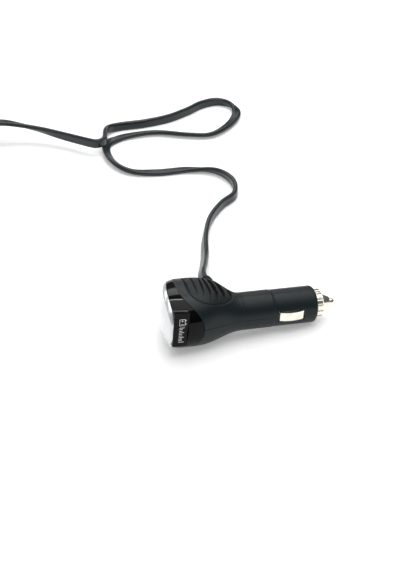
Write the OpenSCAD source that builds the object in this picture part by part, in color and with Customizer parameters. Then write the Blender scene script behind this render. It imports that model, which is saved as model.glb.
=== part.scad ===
// Lighter plug with a battery-monitor head, its flat cord and a two-socket hub.
// Millimetres, +Z up. The plug lies on a table along +X, its tip towards +X,
// and the cord leaves the back of its head along +Y.

/* [Barrel] */
// Diameter of the barrel behind the side contacts
barrel_d = 20.9; // [20.7:0.1:21.3]
// Diameter of the barrel's front, which carries the side contacts
front_d = 20.5; // [20.2:0.1:20.5]
// Length of the straight barrel
barrel_len = 44; // [42:1:50]
// Wall of the two housing shells
wall = 1.8; // [1.5:0.1:2.1]
// Rounding at the barrel's end
barrel_round = 1.5; // [0.8:0.1:1.6]
// Thickness of the wall that closes the barrel's end
end_wall = 2.5; // [2:0.1:3]

/* [Head] */
// Length of the head, from the straight barrel to the front edge
head_len = 43.3; // [42:0.1:48]
// Half width of the head on its label side
head_near = 16; // [15.5:0.1:17]
// Half width of the head on its cord side
head_far = 30; // [28:0.5:32]
// Half height of the head
head_half_h = 15.5; // [15:0.1:16.5]
// Plan radius of the slanting front edge
front_plan_r = 85; // [80:1:100]
// Gap between the housing and the front bezel
bezel_gap = 0.2; // [0.15:0.05:0.3]

/* [Grip] */
// Number of grooves across the grip patch
groove_count = 7; // [3:1:7]
// Distance from one groove to the next
groove_pitch = 3.9; // [3.5:0.1:3.9]
// Depth of the grooves
groove_depth = 1.1; // [0.5:0.1:1.2]
// Width of a groove at its mouth
groove_w = 1.5; // [1.2:0.1:1.6]

/* [Front] */
// How far the lens bulges out of the bezel
lens_bulge = 2.5; // [1.5:0.1:3]
// Thickness of the lens
lens_t = 1.5; // [1.2:0.1:1.6]
// Width of the bezel's rim round the lens
rim_w = 0.9; // [0.7:0.1:1.2]
// Width of the ledge that the lens sits on
ledge_w = 1.4; // [1:0.1:1.8]
// Height of the label panel
label_h = 18.5; // [16:0.1:19]
// Length of the label panel along the plug
label_len = 9.6; // [8:0.1:10]
// Depth of the label panel into the head
label_depth = 3.8; // [3.4:0.1:4]

/* [Contacts] */
// Length of a side contact
contact_len = 13.8; // [12:0.1:15]
// Height of a side contact
contact_h = 5; // [4.6:0.1:5.6]
// How far a side contact stands out of the barrel
contact_bulge = 0.9; // [0.6:0.1:1.1]
// Thickness of the side contacts' strip
contact_t = 0.6; // [0.4:0.1:0.7]
// Distance from the barrel's end to the middle of the side contacts
contact_back = 16; // [15.5:0.1:17]
// Gap round a side contact in its slot
contact_gap = 0.7; // [0.5:0.1:0.9]
// Travel of a side contact
contact_travel = 1.1; // [0.8:0.1:1.2]

/* [Nose] */
// Diameter of the nose ring
ring_d = 16.4; // [15.5:0.1:17]
// Length of the nose ring's notched collar
collar_len = 4.2; // [3.5:0.1:4.6]
// Length of the nose ring's cone
cone_len = 5.4; // [4.5:0.1:6]
// Number of notches round the collar
notch_count = 16; // [10:1:20]
// Diameter of the tip contact
tip_d = 3.9; // [3.5:0.1:4.2]
// How far the tip contact stands out of the cone
tip_out = 3.9; // [3.5:0.1:4.5]
// Travel of the tip contact
tip_travel = 2.5; // [2:0.1:2.8]
// Running clearance round the tip contact
tip_clear = 0.2; // [0.15:0.05:0.3]

/* [Fuse] */
// Diameter of the fuse's caps
fuse_d = 6.3; // [5:0.1:6.35]
// Length of the fuse
fuse_len = 30; // [28:0.5:32]
// Wire of the tip spring
spring_wire = 0.6; // [0.5:0.1:0.7]
// Turns of the tip spring
spring_turns = 5; // [4:1:6]

/* [Cord] */
// Width of the flat cord
cord_w = 6.4; // [6:0.1:6.6]
// Thickness of the flat cord
cord_t = 3.2; // [3:0.1:3.4]
// Wall of the grommets round the cord
grommet_wall = 1.4; // [1.2:0.1:1.6]
// How far the plug's grommet stands out of the head
grommet_out = 5; // [4:0.5:6]

/* [Hub] */
// Length of the hub along its sockets
hub_len = 52; // [48:1:56]
// Width of the hub
hub_w = 62; // [60:1:66]
// Height of the hub above its feet
hub_h = 29; // [28.5:0.5:32]
// Corner radius of the hub
hub_corner = 7; // [5:0.5:9]
// Wall of the hub
hub_wall = 2; // [1.8:0.1:2.4]
// Bore of a socket
socket_d = 21.5; // [21.3:0.1:21.8]
// Depth of a socket
socket_depth = 40; // [38:0.5:42]
// Distance between the sockets
socket_pitch = 29; // [28.5:0.5:31]
// Wall of a socket can
can_wall = 0.8; // [0.6:0.1:1]
// Height of the hub's feet
foot_h = 1.2; // [0.8:0.1:1.6]

/* [Hidden] */
$fn = 48;

// Barrel and head in the plug's own frame: the axis is X, the barrel ends at x = 0,
// the head is towards -X, the parting plane is z = 0 and the cord side is +Y.
barrel_r = barrel_d / 2;
front_r = front_d / 2;
front_len = contact_back + contact_len / 2 + contact_gap + 1.9;
head_step = 0.1;        // the head starts this much outside the barrel
head_wall = wall + head_step + 0.05;
head_near_run = 30;     // the label side swells over this length
head_far_run = 8.8;     // the cord side steps out over this length
head_h_run = 22;        // the head gains its height over this length
section_power = 2.25;   // the head's section is a superellipse of this power
section_run = 20;
round_len = 9.3;        // the head draws in over this length at its front
round_share = 0.13;
slant_run = 21.3;       // the front edge's slant fades out over this length
slant_from = -14;       // the slant starts at this y
front_lean = 0.12;      // the front leans out towards its top
half_cols = 16;         // columns round one half of the head

// The plug lies on the head's belly and the barrel's end
belly_at = 0.45 * head_len;
lie_tilt = atan((head_half_h - front_r) / (barrel_len + belly_at));
lie_lift = (front_r - barrel_round) * cos(lie_tilt) + barrel_round - 0.11;
plug_front = -(barrel_len + head_len) - 0.45 * lens_bulge;
plug_tip = collar_len + cone_len + tip_out;
mid_x = (plug_front + plug_tip) / 2 * cos(lie_tilt);
mid_y = (head_far + grommet_out - head_near) / 2;

module lying() {
    translate([-mid_x, -mid_y, lie_lift]) rotate([0, lie_tilt, 0]) children();
}

// Turns a solid whose axis is Z so that its axis is X
module along_x() { rotate([0, 90, 0]) children(); }

function blend(t) = let (c = min(max(t, 0), 1)) c * c * (3 - 2 * c);
function power(v, n) = sign(v) * pow(abs(v), 2 / n);

// Half widths and half height of the head at station s from the straight barrel
head_r = barrel_r + head_step;
function near_at(s) = head_r + (head_near - head_r) * blend(s / head_near_run);
function far_at(s) = head_r + (head_far - head_r) * blend(s / head_far_run);
function high_at(s) = head_r + (head_half_h - head_r) * blend(s / head_h_run);
function draw_in(s) = let (t = min(max((s - head_len + round_len) / round_len, 0), 1))
    1 - round_share * (1 - sqrt(1 - 0.98 * t * t));

// A point of the head's skin: station s, angle a from the cord side, inset inwards,
// and drop towards the barrel
function skin(s, a, inset = 0, drop = 0) =
    let (
        back = s - inset,
        side = cos(a) >= 0 ? far_at(back) : near_at(back),
        n = 2 + (section_power - 2) * blend(s / section_run),
        y = (side * draw_in(s) - inset) * power(cos(a), n),
        z = (high_at(back) * draw_in(s) - inset) * power(sin(a), n),
        slant = blend((s - head_len + slant_run) / slant_run)
    )
    [-barrel_len - s + slant * (pow(y - slant_from, 2) / (2 * front_plan_r) - front_lean * z) + drop, y, z];

// Where the housing ends and the bezel starts: a lobe reaches back on the label side
edge_far = head_len - 6.3;
edge_lean = 4.5;
edge_lobe = 8;
function edge_at(a) = let (q = (1 - cos(a)) / 2) edge_far - edge_lean * q - edge_lobe * pow(q, 5);

// Grip patch: an oval round the back of the head, from the seam over the top
patch_mid = 17;
patch_half = 13.6;
patch_angle = 130;
groove_first = patch_mid - (groove_count - 1) / 2 * groove_pitch - 0.3;
groove_floor = 0.45 * groove_w;
function patch(s, a) = blend(3 * (1 - pow((s - patch_mid) / patch_half, 2) - pow(a / patch_angle, 2)));
function groove_share(a) = 0.45 + 0.55 * blend((110 - abs(a)) / 45);

// Rings of the housing, each a station and 1 on a groove's floor
ring_end = edge_at(90);
rings = concat(
    [[0, 0], [1.2, 0], [2.4, 0], [3.4, 0]],
    [for (k = [0 : groove_count - 1]) let (g = groove_first + k * groove_pitch)
        each [[g - groove_w / 2, 0], [g - groove_floor / 2, 1], [g + groove_floor / 2, 1],
              [g + groove_w / 2, 0], [g + groove_pitch / 2, 0]]],
    [[(groove_first + (groove_count - 0.5) * groove_pitch + ring_end) / 2, 0], [ring_end, 0]]);
fan_from = 12;
function fanned(u, a) = u + (edge_at(a) - ring_end) * blend((u - fan_from) / (ring_end - fan_from));
function outer_point(ring, a) = let (s = fanned(ring[0], a))
    skin(s, a, 0) - ring[1] * groove_depth * groove_share(a) * patch(ring[0], a) * lean_out(s, a);
// Unit vector out of the skin at a point, from two close neighbours
function lean_out(s, a) =
    let (e = 0.4, u = skin(s + e, a) - skin(s - e, a), v = skin(s, a + 1) - skin(s, a - 1), c = cross(u, v))
    c / norm(c);

// Triangles between two neighbouring rows of points, as seen from outside
function quad(p, q, r, t, flip) = flip ? [[p, r, q], [p, t, r]] : [[p, q, r], [p, r, t]];

// Half of the head, over the parting plane or under it: outer skin, inner skin and the edges between them
module head_half(under) {
    function angle(j) = (under ? -180 : 180) * j / half_cols;
    last = len(rings) - 1;
    row = half_cols + 1;
    inner = (last + 1) * row;
    points = concat(
        [for (ring = rings, j = [0 : half_cols]) outer_point(ring, angle(j))],
        [for (ring = rings, j = [0 : half_cols]) let (a = angle(j))
            skin(fanned(ring[0], a), a, head_wall)]);
    faces = concat(
        [for (i = [0 : last - 1], j = [0 : half_cols - 1]) let (p = i * row + j)
            each quad(p, p + 1, p + row + 1, p + row, under)],
        [for (i = [0 : last - 1], j = [0 : half_cols - 1]) let (p = inner + i * row + j)
            each quad(p, p + 1, p + row + 1, p + row, !under)],
        [for (i = [0 : last - 1]) let (p = i * row)
            each quad(p, p + row, inner + p + row, inner + p, under)],
        [for (i = [0 : last - 1]) let (p = i * row + half_cols)
            each quad(p, p + row, inner + p + row, inner + p, !under)],
        [for (j = [0 : half_cols - 1]) each quad(j, j + 1, inner + j + 1, inner + j, !under)],
        [for (j = [0 : half_cols - 1]) let (p = last * row + j)
            each quad(p, p + 1, inner + p + 1, inner + p, under)]);
    polyhedron(points, faces, convexity = 6);
}

// Straight barrel as a full turned tube, with its end wall and the ribs that hold the fuse tube
fuse_r = fuse_d / 2;
tube_r = fuse_r + 1.4;
tube_bore = fuse_r + 0.15;
tube_front = -end_wall - 0.4;
spring_room = 7.5;
fuse_front = tube_front - 1;
fuse_back = fuse_front - fuse_len;
terminal_t = 1.6;
tube_back = fuse_back - terminal_t - 0.1;
seat_gap = 0.15;
thread_r = 6;
nut_clear = 0.15;
rib_t = 1.4;
stop_r = 1.6;
rib_at = [tube_front - rib_t, -contact_back - contact_len / 2 - 5.6];

module barrel_tube() {
    along_x() rotate_extrude($fn = 96) union() {
        difference() {
            union() {
                translate([0, -barrel_len]) square([barrel_r, barrel_len - front_len]);
                translate([0, -front_len - 1]) square([front_r, front_len + 1 - barrel_round]);
                translate([0, -barrel_round]) square([front_r - barrel_round, barrel_round]);
                translate([front_r - barrel_round, -barrel_round]) intersection() {
                    circle(barrel_round);
                    square(barrel_round);
                }
            }
            translate([0, -barrel_len - 1]) square([barrel_r - wall, barrel_len + 1 - end_wall]);
            translate([0, -end_wall - 1]) square([thread_r + nut_clear, end_wall + 2]);
        }
        for (x = rib_at) translate([tube_r + seat_gap, x]) square([barrel_r - wall / 2 - tube_r - seat_gap, rib_t]);
        // Back stop of the fuse tube, with a hole for the terminal's tail
        translate([stop_r, tube_back - 0.05 - rib_t]) square([barrel_r - wall / 2 - stop_r, rib_t]);
    }
}

// Slots for the side contacts, one on each side, across the parting plane
slot_len = contact_len + 2 * contact_gap;
slot_h = contact_h + 2 * contact_gap;
module contact_slots() {
    for (side = [-1, 1])
        translate([-contact_back - slot_len / 2, side > 0 ? barrel_r - 2 * wall : -barrel_r - wall, -slot_h / 2])
            cube([slot_len, 3 * wall, slot_h]);
}

// Upper half of a solid
module keep_upper(size = 200) {
    intersection() {
        children();
        translate([-size / 2, -size / 2, 0]) cube(size);
    }
}

// Cord exit at the back of the head, where the flat cord leaves on edge
exit_s = 7;
exit_x = -barrel_len - exit_s;
exit_y = head_far;
grommet_r = cord_t / 2 + grommet_wall;
grommet_half = cord_w / 2 + grommet_wall;
flange_extra = 0.8;
grommet_clear = 0.15;
exit_depth = head_far - head_r + 1;   // the grommet reaches in to where the head is as narrow as the barrel
cord_gap = 0.2;

// A flat rod with round edges along +Y, w wide along X and t thick along Z
module flat_rod(w, t, len) {
    rotate([-90, 0, 0]) {
        for (side = [-1, 1]) translate([side * (w - t) / 2, 0, 0]) cylinder(d = t, h = len, $fn = 32);
        translate([-(w - t) / 2, -t / 2, 0]) cube([w - t, t, len]);
    }
}
module at_exit() { translate([exit_x, exit_y, 0]) rotate([0, 90, 0]) children(); }
module exit_hole() {
    at_exit() {
        translate([0, -exit_depth - 1, 0])
            flat_rod(2 * (grommet_half + grommet_clear), 2 * (grommet_r + grommet_clear), exit_depth + 7);
        translate([0, -exit_depth - flange_extra - grommet_clear, 0])
            flat_rod(2 * (grommet_half + flange_extra + grommet_clear), 2 * (grommet_r + flange_extra + grommet_clear),
                flange_extra + 2 * grommet_clear);
    }
}

// Two screws hold the shells together from below
screw_at = [[-barrel_len - 20, 13], [-barrel_len - 20, -6]];
function boss_h(at) = high_at(-barrel_len - at[0]) - head_wall - 1.5;
screw_boss_r = 3;
screw_r = 1.15;
screw_pilot_r = 1.2;
screw_head_r = 2.3;
screw_head_h = 1.8;
screw_floor = -7;
screw_reach = 7;
boss_gap = 0.1;

// The board stands across the head between two pairs of slotted ribs
board_s = 30.5;
board_x = -barrel_len - board_s + 1.9;
board_t = 1.6;
board_w = 26;
board_h = 20;
board_mid_y = 7;
board_grip = 1;
board_hole_r = 0.9;
board_hole_in = [2, 3];   // from the board's edges to the middle of a hole
board_clear = 0.15;
module board_ribs() {
    for (y = [board_mid_y - 6, board_mid_y + 4]) difference() {
        translate([board_x - 2.4, y - 1.2, board_h / 2 - board_grip])
            cube([4.8, 2.4, high_at(board_s) - head_wall + 0.2 - board_h / 2 + board_grip]);
        translate([board_x - board_t / 2 - board_clear, y - 3, 0])
            cube([board_t + 2 * board_clear, 6, board_h / 2 + board_clear]);
    }
}

module half_housing(under) {
    difference() {
        union() {
            head_half(under);
            mirror([0, 0, under ? 1 : 0]) {
                keep_upper() barrel_tube();
                board_ribs();
            }
        }
        contact_slots();
        exit_hole();
    }
}

module upper_housing() {
    color([0.16, 0.18, 0.19]) lying() difference() {
        union() {
            half_housing(false);
            for (at = screw_at) translate([at[0], at[1], boss_gap])
                cylinder(r = screw_boss_r, h = boss_h(at) - boss_gap);
        }
        for (at = screw_at) translate([at[0], at[1], -1]) cylinder(r = screw_pilot_r, h = screw_reach + 2);
    }
}

module lower_housing() {
    color([0.16, 0.18, 0.19]) lying() difference() {
        union() {
            half_housing(true);
            for (at = screw_at) translate([at[0], at[1], -boss_h(at)])
                cylinder(r = screw_boss_r, h = boss_h(at));
        }
        for (at = screw_at) translate([at[0], at[1], 0]) {
            translate([0, 0, screw_floor - 1]) cylinder(r = screw_r + 0.15, h = -screw_floor + 2);
            translate([0, 0, -head_half_h - 1]) cylinder(r = screw_head_r + 0.2, h = head_half_h + 1 + screw_floor);
        }
    }
}

module housing_screws() {
    color([0.55, 0.55, 0.57]) lying() for (at = screw_at) translate([at[0], at[1], 0]) difference() {
        union() {
            translate([0, 0, screw_floor - screw_head_h]) cylinder(r = screw_head_r, h = screw_head_h);
            translate([0, 0, screw_floor - 0.5]) cylinder(r = screw_r, h = -screw_floor + screw_reach - 0.5);
        }
        translate([0, 0, screw_floor - screw_head_h - 1]) for (turn = [0, 90]) rotate([0, 0, turn])
            translate([-1.5, -0.3, 0]) cube([3, 0.6, 2]);
    }
}

// Label panel on the near side: a flat plate whose top and bottom edges reach in to the bezel
label_face_y = -head_near + 0.1;
label_top = 10.5;
label_front_x = -barrel_len - head_len + 0.1;
label_t = 2;
label_reach = [3.5, 1.5];   // heights of the deep edges, top and bottom
module label_block(grow = 0) {
    for (edge = [[label_top - label_h, label_h, label_t], [label_top - label_reach[0], label_reach[0], label_depth],
                 [label_top - label_h, label_reach[1], label_depth]])
        translate([label_front_x - 2 * grow, label_face_y - 2 * grow, edge[0] - grow])
            cube([label_len + 3 * grow, edge[2] + 3 * grow, edge[1] + 2 * grow]);
}

// The bezel: one section swept round the front of the head
bezel_wall = 1.8;
tongue_len = 1.5;   // the bezel's tongue reaches into the housing
tongue_t = 1.1;
tongue_gap = 0.12;
pocket_drop = 1.7;
ledge_t = 1.1;
bezel_cols = 2 * half_cols;
function bezel_section(a) =
    let (start = edge_at(a) + bezel_gap, span = head_len - start)
    concat(
        [for (t = [0, 0.3, 0.55, 0.75, 0.88, 0.96, 1]) skin(start + t * span, a)],
        [skin(head_len, a, rim_w), skin(head_len, a, rim_w, pocket_drop),
         skin(head_len, a, rim_w + ledge_w, pocket_drop),
         skin(head_len, a, rim_w + ledge_w, pocket_drop + ledge_t)],
        [skin(start + 0.5 * (span - pocket_drop - ledge_t), a, bezel_wall),
         skin(start + 0.15 * span, a, head_wall + tongue_gap + tongue_t),
         skin(start - tongue_len, a, head_wall + tongue_gap + tongue_t),
         skin(start - tongue_len, a, head_wall + tongue_gap), skin(start, a, head_wall + tongue_gap)]);
module bezel_ring() {
    sections = [for (j = [0 : bezel_cols - 1]) bezel_section(360 * j / bezel_cols)];
    n = len(sections[0]);
    polyhedron([for (section = sections) each section],
        [for (j = [0 : bezel_cols - 1], k = [0 : n - 1])
            let (p = j * n, q = (j + 1) % bezel_cols * n, m = (k + 1) % n)
            each quad(p + k, q + k, q + m, p + m, false)], convexity = 8);
}
module front_bezel() {
    color([0.03, 0.03, 0.035]) lying() difference() {
        bezel_ring();
        label_block(0.15);
    }
}
module label_panel() { color([0.05, 0.05, 0.055]) lying() label_block(); }

// Front lens: a shallow dome that fills the bezel's opening
lens_clear = 0.1;
lens_rows = 5;
function lens_point(share, a, back) =
    let (p = skin(head_len, a, rim_w + lens_clear, pocket_drop - lens_t),
         y = share * p[1] + (1 - share) * 6, z = share * p[2])
    [-barrel_len - head_len + pow(y - slant_from, 2) / (2 * front_plan_r) - front_lean * z + pocket_drop - lens_t
        - lens_bulge * (1 - share * share) + back, y, z];
module front_lens() {
    ring = bezel_cols;
    sheet = 1 + lens_rows * ring;
    function sheet_points(back) = concat([lens_point(0, 0, back)],
        [for (i = [1 : lens_rows], j = [0 : ring - 1]) lens_point(i / lens_rows, 360 * j / ring, back)]);
    function sheet_faces(start, flip) = concat(
        [for (j = [0 : ring - 1]) let (p = start + 1 + j, q = start + 1 + (j + 1) % ring)
            flip ? [start, q, p] : [start, p, q]],
        [for (i = [0 : lens_rows - 2], j = [0 : ring - 1])
            let (p = start + 1 + i * ring + j, q = start + 1 + i * ring + (j + 1) % ring)
            each quad(p, p + ring, q + ring, q, flip)]);
    rim = 1 + (lens_rows - 1) * ring;
    color([0.82, 0.83, 0.84]) lying() polyhedron(
        concat(sheet_points(0), sheet_points(lens_t - 0.1)),
        concat(sheet_faces(0, false), sheet_faces(sheet, true),
            [for (j = [0 : ring - 1]) let (p = rim + j, q = rim + (j + 1) % ring)
                each quad(p, sheet + p, sheet + q, q, false)]), convexity = 4);
}

// Three-figure display on the board, behind the lens
display_size = [4.6, 22, 10];
digit_pitch = (display_size[1] - 1) / 3;
digit_size = [1.4, digit_pitch - 2.2, display_size[2] - 2.4];
digit_bar = 1;
module display_module() {
    color([0.1, 0.02, 0.02]) lying() difference() {
        translate([board_x - board_t / 2 - display_size[0], board_mid_y - display_size[1] / 2, -display_size[2] / 2])
            cube(display_size);
        for (k = [-1 : 1]) translate([board_x - board_t / 2 - display_size[0] - 1,
                board_mid_y + k * digit_pitch - digit_size[1] / 2, -digit_size[2] / 2])
            difference() {
                cube(digit_size);
                for (z = [digit_bar, (digit_size[2] + digit_bar) / 2]) translate([-1, digit_bar, z])
                    cube([4, digit_size[1] - 2 * digit_bar, (digit_size[2] - 3 * digit_bar) / 2]);
            }
    }
}
module circuit_board() {
    color([0.05, 0.3, 0.15]) lying() {
        difference() {
            translate([board_x - board_t / 2, board_mid_y - board_w / 2, -board_h / 2])
                cube([board_t, board_w, board_h]);
            for (side = [-1, 1]) translate([board_x - board_t,
                    board_mid_y + side * (board_w / 2 - board_hole_in[0]), board_h / 2 - board_hole_in[1]])
                along_x() cylinder(r = board_hole_r, h = 2 * board_t);
        }
        translate([board_x + board_t / 2 - 0.1, board_mid_y - board_w / 2 + 4, -board_h / 2 + 4]) cube([3.1, 7, 6]);
        translate([board_x + board_t / 2 - 0.1, board_mid_y + 1, board_h / 2 - 8]) along_x() cylinder(r = 2.4, h = 6.1);
    }
}

// Grommet round the cord, with a flange inside the wall
module grommet(out, gap, inside) {
    difference() {
        union() {
            translate([0, -inside, 0]) flat_rod(2 * grommet_half, 2 * grommet_r, inside + out);
            translate([0, -inside - flange_extra, 0])
                flat_rod(2 * (grommet_half + flange_extra), 2 * (grommet_r + flange_extra), flange_extra);
            for (k = [1 : 2]) translate([0, out - 1.6 * k, 0])
                flat_rod(2 * grommet_half + 0.9, 2 * grommet_r + 0.9, 0.8);
        }
        translate([0, -inside - 2 * flange_extra, 0]) flat_rod(cord_w + 2 * gap, cord_t + 2 * gap,
            inside + out + 3 * flange_extra);
    }
}
module cord_grommet() {
    color([0.09, 0.1, 0.1]) lying() at_exit() grommet(grommet_out, cord_gap, exit_depth);
}

// A side contact: a bowed strip with two legs and feet behind the barrel's wall
bow_r = (pow(contact_len / 2, 2) + pow(contact_bulge + 0.3, 2)) / (2 * (contact_bulge + 0.3));
foot_y = barrel_r - wall - 1.1;
module side_contact() {
    translate([-contact_back, 0, -contact_h / 2]) {
        linear_extrude(contact_h) {
            intersection() {
                translate([0, barrel_r + contact_bulge - bow_r]) difference() {
                    circle(bow_r, $fn = 128);
                    circle(bow_r - contact_t, $fn = 128);
                }
                translate([-contact_len / 2, foot_y]) square([contact_len, barrel_r]);
            }
            for (side = [-1, 1]) {
                translate([side * (contact_len / 2 - contact_t / 2) - contact_t / 2, foot_y])
                    square([contact_t, barrel_r - foot_y - 0.6]);
                translate([side > 0 ? contact_len / 2 - contact_t : -contact_len / 2 - 1.6, foot_y])
                    square([1.6 + contact_t, contact_t]);
            }
        }
    }
}
module side_contact_far() { color([0.85, 0.83, 0.78]) lying() side_contact(); }
module side_contact_near() { color([0.85, 0.83, 0.78]) lying() mirror([0, 1, 0]) side_contact(); }

// Nose ring: collar with notches, cone and threaded spigot
ring_r = ring_d / 2;
tip_r = tip_d / 2;
nose_len = collar_len + cone_len;
nut_bore = 3.7;
nut_lip = 1;
cone_r0 = 6;
cone_r1 = 3.4;
spigot_len = end_wall + 0.35;
flange_r = nut_bore - 0.3;
flange_t = 1.2;
module ring_nut() {
    color([0.87, 0.85, 0.8]) lying() difference() {
        along_x() {
            translate([0, 0, -spigot_len]) cylinder(r = thread_r, h = spigot_len + 0.2);
            translate([0, 0, 0.1]) cylinder(r = ring_r, h = collar_len - 0.8);
            translate([0, 0, collar_len - 0.7]) cylinder(r1 = ring_r, r2 = ring_r - 0.7, h = 0.7);
            translate([0, 0, collar_len - 0.1]) cylinder(r1 = cone_r0, r2 = cone_r1, h = cone_len + 0.1);
        }
        translate([-spigot_len - 1, 0, 0]) along_x() cylinder(r = nut_bore, h = spigot_len + 1 + nose_len - nut_lip);
        along_x() cylinder(r = tip_r + tip_clear, h = nose_len + 5);
        for (k = [0 : notch_count - 1]) rotate([360 / notch_count * k, 0, 0])
            translate([-1, 0, ring_r + 0.35]) along_x() cylinder(r = 0.95, h = collar_len + 2, $fn = 24);
    }
}
module tip_contact() {
    color([0.87, 0.85, 0.8]) lying() along_x() {
        translate([0, 0, nose_len - nut_lip - flange_t - 0.05]) cylinder(r = flange_r, h = flange_t);
        translate([0, 0, nose_len - nut_lip - flange_t]) cylinder(r = tip_r, h = tip_out + nut_lip + flange_t - tip_r);
        translate([0, 0, nose_len + tip_out - tip_r]) sphere(r = tip_r, $fn = 32);
    }
}

// Spring between the fuse and the tip contact
spring_r = flange_r - spring_wire / 2 - 0.3;
spring_back = fuse_front + 0.05;
spring_front = nose_len - nut_lip - flange_t - 0.1;
function ring_faces(count, sides) = concat(
    [[for (k = [0 : sides - 1]) k]],
    [for (i = [0 : count - 2], k = [0 : sides - 1]) let (m = (k + 1) % sides)
        each quad(i * sides + k, (i + 1) * sides + k, (i + 1) * sides + m, i * sides + m, false)],
    [[for (k = [sides - 1 : -1 : 0]) (count - 1) * sides + k]]);
module tip_spring() {
    steps = 10;
    sides = 6;
    count = spring_turns * steps + 1;
    rise = spring_front - spring_back - spring_wire;
    color([0.7, 0.7, 0.7]) lying() polyhedron(
        [for (i = [0 : count - 1], k = [0 : sides - 1])
            let (a = 360 * i / steps, b = 360 * k / sides, r = spring_r + spring_wire / 2 * cos(b))
            [spring_back + spring_wire / 2 + rise * i / (count - 1) + spring_wire / 2 * sin(b), r * cos(a), r * sin(a)]],
        ring_faces(count, sides), convexity = 10);
}

// Fuse: a glass tube between two caps, in an insulating tube
cap_len = 6;
glass_r = fuse_r - 0.25;
module fuse_glass() {
    color([0.8, 0.88, 0.9, 0.5]) lying() translate([fuse_back + 0.5, 0, 0]) along_x() difference() {
        cylinder(r = glass_r, h = fuse_len - 1);
        translate([0, 0, -1]) cylinder(r = glass_r - 0.7, h = fuse_len + 2);
    }
}
module fuse_cap() {
    along_x() difference() {
        cylinder(r = fuse_r, h = cap_len);
        translate([0, 0, 0.45]) cylinder(r = glass_r + 0.02, h = cap_len);
    }
}
module fuse_cap_rear() { color([0.8, 0.8, 0.78]) lying() translate([fuse_back, 0, 0]) fuse_cap(); }
module fuse_cap_front() { color([0.8, 0.8, 0.78]) lying() translate([fuse_front, 0, 0]) mirror([1, 0, 0]) fuse_cap(); }
module fuse_tube() {
    color([0.75, 0.7, 0.6]) lying() translate([tube_back, 0, 0]) along_x() difference() {
        cylinder(r = tube_r, h = tube_front - tube_back);
        translate([0, 0, -1]) cylinder(r = tube_bore, h = tube_front - tube_back + 2);
    }
}
module rear_terminal() {
    color([0.75, 0.6, 0.3]) lying() along_x() {
        translate([0, 0, fuse_back - terminal_t]) cylinder(r = tube_bore - 0.05, h = terminal_t);
        translate([0, 0, fuse_back - terminal_t - 5]) cylinder(r = 1, h = 5.2);
    }
}

// Route of the cord on the table: x, y, height of its middle (0 lies on the table) and the
// turn of its flat side, which is level at 0 and stands on edge at 90
exit_at = [cos(lie_tilt) * exit_x - mid_x, exit_y - mid_y, lie_lift - sin(lie_tilt) * exit_x];
hub_right = -97.7;
hub_grommet_out = 7.7;
hub_mid_y = 267.5;
seam_z = foot_h + hub_h / 2;
cord_route = [
    each [for (y = [-exit_depth - 1, -exit_depth / 2, grommet_out + 3])
        [exit_at[0], exit_at[1] + y, exit_at[2], lie_tilt + 90]],
    [-10.9, 37.5, 13, 68], [-6.6, 47, 10.2, 50], [0.8, 68, 4.6, 58], [9, 91.5, 0, 72],
    [19, 111.5, 0, 88], [32, 127.5, 0, 90], [45, 138.5, 0, 90], [50, 157, 0, 85], [44.5, 174.5, 0, 50],
    [29, 183.5, 0, 12], [8, 186.6, 0, 0], [-8.7, 193.5, 0, 20], [-16.4, 211, 0, 40], [-14.4, 234, 0, 35],
    [-3.5, 244.2, 0, 0], [12, 246.6, 0, -15], [27, 244.4, 0, -20], [45, 234.4, 0, -25], [60, 229.8, 0, -25],
    [76, 239.5, 0, -15], [88, 255, 0, 10], [90.5, 269, 0, 45], [82, 278.5, 0, 75], [69, 277, 0, 90],
    [56, 269.5, 0, 90], [39, 262.2, 0, 90], [20, 259.6, 0, 90], [3, 260.2, 0, 90], [-6.5, 256.5, 4.2, 90],
    [-11.6, 246, 6.8, 90], [-15, 234.5, 8.2, 90], [-17.8, 229.8, 8.4, 90], [-22.4, 228.6, 8.4, 90],
    [-27, 232, 8.4, 88], [-41, 247.3, 8.5, 75], [-57, 259, 11.2, 40], [-76, 266.5, 15, 5],
    each [for (x = [hub_grommet_out + 3, 2, -2]) [hub_right + x, hub_mid_y, seam_z, 0]]];
route_split = 1.75;
cord_sides = 8;
route_last = len(cord_route) - 1;
// Corners of the cord's section, and how far they reach below its middle
section = [for (k = [0 : cord_sides - 1]) let (a = 360 * (k + 0.5) / cord_sides, r = 0.52 * cord_t)
    [sign(cos(a)) * (cord_w - cord_t) / 2 + r * cos(a), r * sin(a)]];
function rest_height(turn) = max([for (c = section) c[0] * sin(turn) + c[1] * cos(turn)]) + 0.03;
function lifted(p) = [p[0], p[1], max(p[2], rest_height(p[3])), p[3]];
function route(i) = lifted(cord_route[min(max(i, 0), route_last)]);
// Catmull-Rom curve through the route's points
function curve(u) = let (i = min(floor(u), route_last - 1), t = u - i,
    p0 = i == 0 ? 2 * route(0) - route(1) : route(i - 1), p1 = route(i), p2 = route(i + 1),
    p3 = i == route_last - 1 ? 2 * route(route_last) - route(route_last - 1) : route(i + 2))
    0.5 * (2 * p1 + (p2 - p0) * t + (2 * p0 - 5 * p1 + 4 * p2 - p3) * t * t
        + (3 * p1 - p0 - 3 * p2 + p3) * t * t * t);
function place(p) = [p[0], p[1], p[2]];
function cord_ring(u) =
    let (p = lifted(curve(u)), ahead = place(curve(min(u + 0.05, route_last)) - curve(max(u - 0.05, 0))),
         way = u == 0 ? [0, 1, 0] : u == route_last ? [-1, 0, 0] : ahead / norm(ahead),
         left = cross([0, 0, 1], way) / norm(cross([0, 0, 1], way)), up = cross(way, left),
         wide = left * cos(p[3]) + up * sin(p[3]), thin = up * cos(p[3]) - left * sin(p[3]))
    [for (c = section) place(p) + wide * c[0] + thin * c[1]];
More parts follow.
